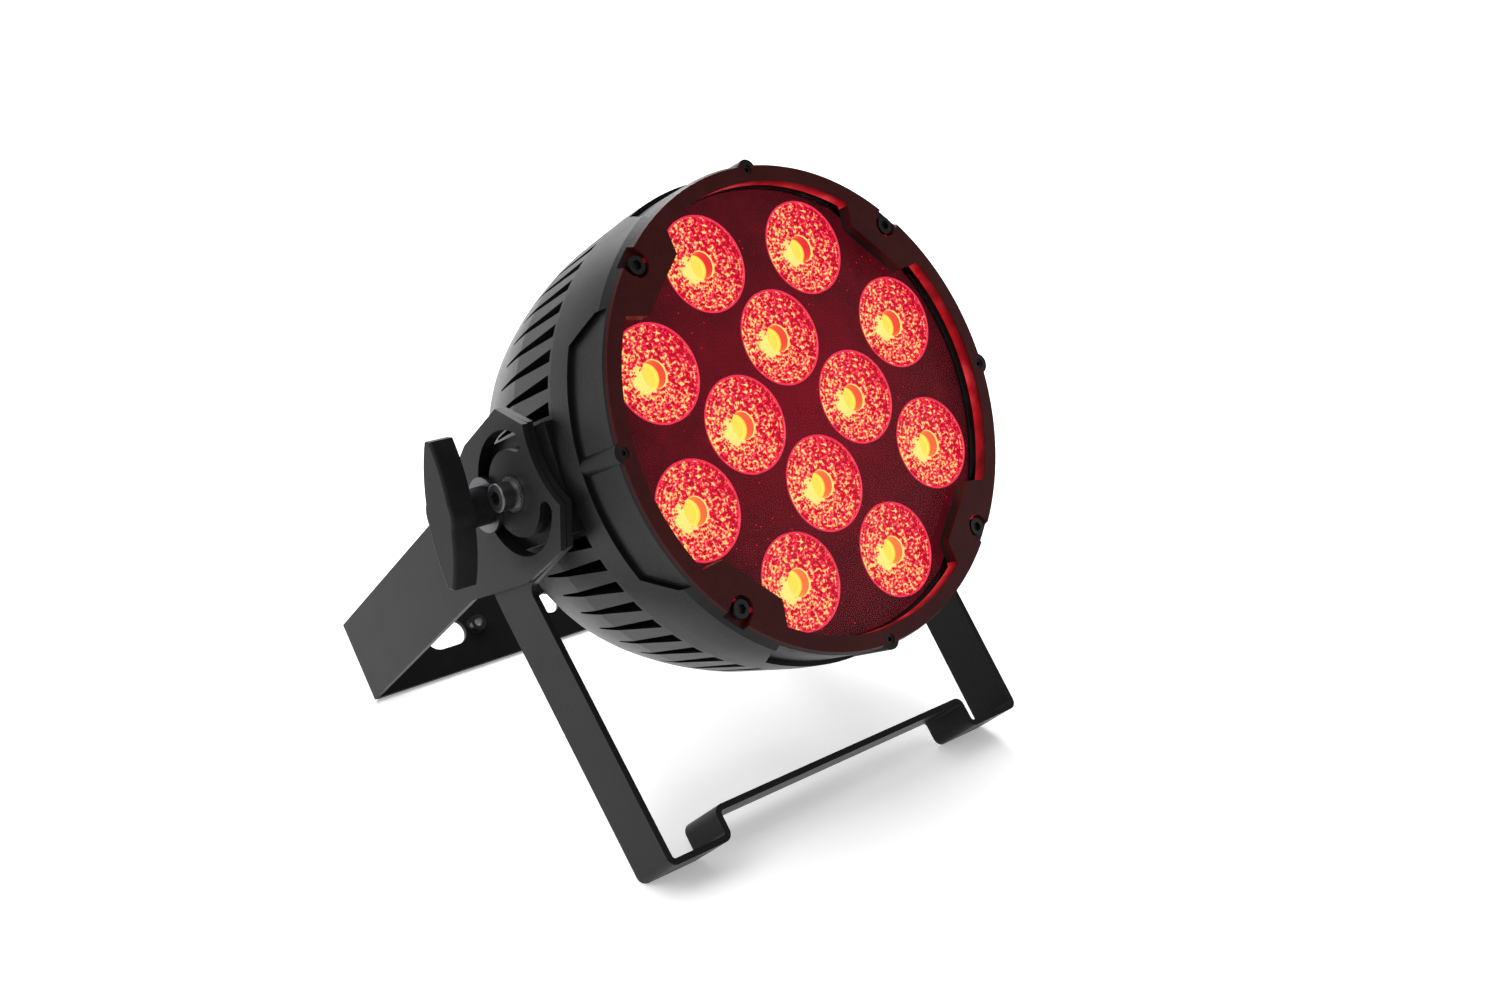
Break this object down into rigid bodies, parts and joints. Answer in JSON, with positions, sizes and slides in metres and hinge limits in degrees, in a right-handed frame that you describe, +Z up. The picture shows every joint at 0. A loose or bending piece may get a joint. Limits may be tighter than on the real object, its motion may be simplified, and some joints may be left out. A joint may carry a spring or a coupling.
{
  "type": "par can light",
  "caption": "LED par can stage light: finned round head with a cluster of pebbled lenses, tilting in a double bracket that hangs or stands, clamped by wing knobs.",
  "frame": {"origin": "on the floor, under the middle of the bounding box", "axes": "+X to the right seen from the front, the light shines towards -Y and up, +Z up"},
  "size_m": [0.3022, 0.2894, 0.3018],
  "materials": {
    "bracket_coat": "fine satin powder coat on steel",
    "housing_coat": "satin powder coat on cast aluminium",
    "knob_plastic": "fine grained moulded plastic",
    "bright_steel": "turned stainless steel",
    "black_steel": "black oxide screws",
    "seal_rubber": "silicone",
    "clear_glass": "toughened glass",
    "lens_clear": "pebbled clear acrylic",
    "mask_black": "smooth black",
    "holder_black": "moulded",
    "led_white": "emitter with silicone dome",
    "board_white": "white solder mask",
    "board_green": "green solder mask",
    "component_black": "moulded components",
    "bare_aluminium": "as machined",
    "panel_coat": "smooth satin",
    "window_smoke": "smoked acrylic",
    "socket_plastic": "moulded",
    "button_rubber": "soft touch",
    "contact_brass": "plated contacts"
  },
  "bodies": {
    "rear_bracket": {"rear_bracket": "bracket_coat", "crossbar_inserts": "bright_steel"},
    "head": {"rear_housing": "housing_coat", "front_housing": "housing_coat", "housing_seal": "seal_rubber", "front_bezel": "housing_coat", "bezel_screws": "black_steel", "rim_screws": "black_steel", "inner_screws": "bright_steel", "glass_seal": "seal_rubber", "front_glass": "clear_glass", "heat_spreader": "bare_aluminium", "led_board": "board_white", "led_packages": "led_white", "lens_holders": "holder_black", "mask_plate": "mask_black", "mask_standoffs": "bright_steel", "mask_screws": "black_steel", "power_supply": "bare_aluminium", "driver_board": "board_green", "board_standoffs": "bright_steel", "driver_components": "component_black", "rear_cover": "panel_coat", "rear_cover_seal": "seal_rubber", "rear_screws": "black_steel", "display_window": "window_smoke", "display_board": "board_green", "button_switches": "component_black", "power_in": "socket_plastic", "data_in": "socket_plastic", "data_out": "socket_plastic", "power_out": "socket_plastic", "socket_contacts": "contact_brass", "vent_plug": "holder_black", "pivot_screws": "bright_steel", "pivot_washers": "bright_steel", "lens_01": "lens_clear", "lens_02": "lens_clear", "lens_03": "lens_clear", "lens_04": "lens_clear", "lens_05": "lens_clear", "lens_06": "lens_clear", "lens_07": "lens_clear", "lens_08": "lens_clear", "lens_09": "lens_clear", "lens_10": "lens_clear", "lens_11": "lens_clear", "lens_12": "lens_clear"},
    "front_bracket": {"front_bracket": "bracket_coat"},
    "knob_left": {"knob_grip_left": "knob_plastic", "knob_stud_left": "bright_steel", "knob_washer_left": "bright_steel"},
    "knob_right": {"knob_grip_right": "knob_plastic", "knob_stud_right": "bright_steel", "knob_washer_right": "bright_steel"},
    "button_1": {"button_1": "button_rubber"},
    "button_2": {"button_2": "button_rubber"},
    "button_3": {"button_3": "button_rubber"},
    "button_4": {"button_4": "button_rubber"}
  },
  "joints": [
    {"name": "head_tilt", "type": "hinge", "parent": "rear_bracket", "child": "head", "pos_m": [0, -0.02454, 0.16409], "axis": [1, 0, 0], "range_deg": [-149.2, 119.8]},
    {"name": "front_bracket_swing", "type": "hinge", "parent": "head", "child": "front_bracket", "pos_m": [0, -0.02454, 0.16409], "axis": [1, 0, 0], "range_deg": [-118.2, 150.8]},
    {"name": "knob_left_turn", "type": "hinge", "parent": "head", "child": "knob_left", "pos_m": [-0.1251, -0.00324, 0.15219], "axis": [-1, 0, 0], "range_deg": [0, 540]},
    {"name": "knob_right_turn", "type": "hinge", "parent": "head", "child": "knob_right", "pos_m": [0.1251, -0.00324, 0.15219], "axis": [1, 0, 0], "range_deg": [0, 540]},
    {"name": "button_1_press", "type": "slide", "parent": "head", "child": "button_1", "axis": [0, -0.8729, 0.4879], "range_m": [0, 0.001], "stiffness_N_per_m": 500},
    {"name": "button_2_press", "type": "slide", "parent": "head", "child": "button_2", "axis": [0, -0.8729, 0.4879], "range_m": [0, 0.001], "stiffness_N_per_m": 500},
    {"name": "button_3_press", "type": "slide", "parent": "head", "child": "button_3", "axis": [0, -0.8729, 0.4879], "range_m": [0, 0.001], "stiffness_N_per_m": 500},
    {"name": "button_4_press", "type": "slide", "parent": "head", "child": "button_4", "axis": [0, -0.8729, 0.4879], "range_m": [0, 0.001], "stiffness_N_per_m": 500}
  ]
}
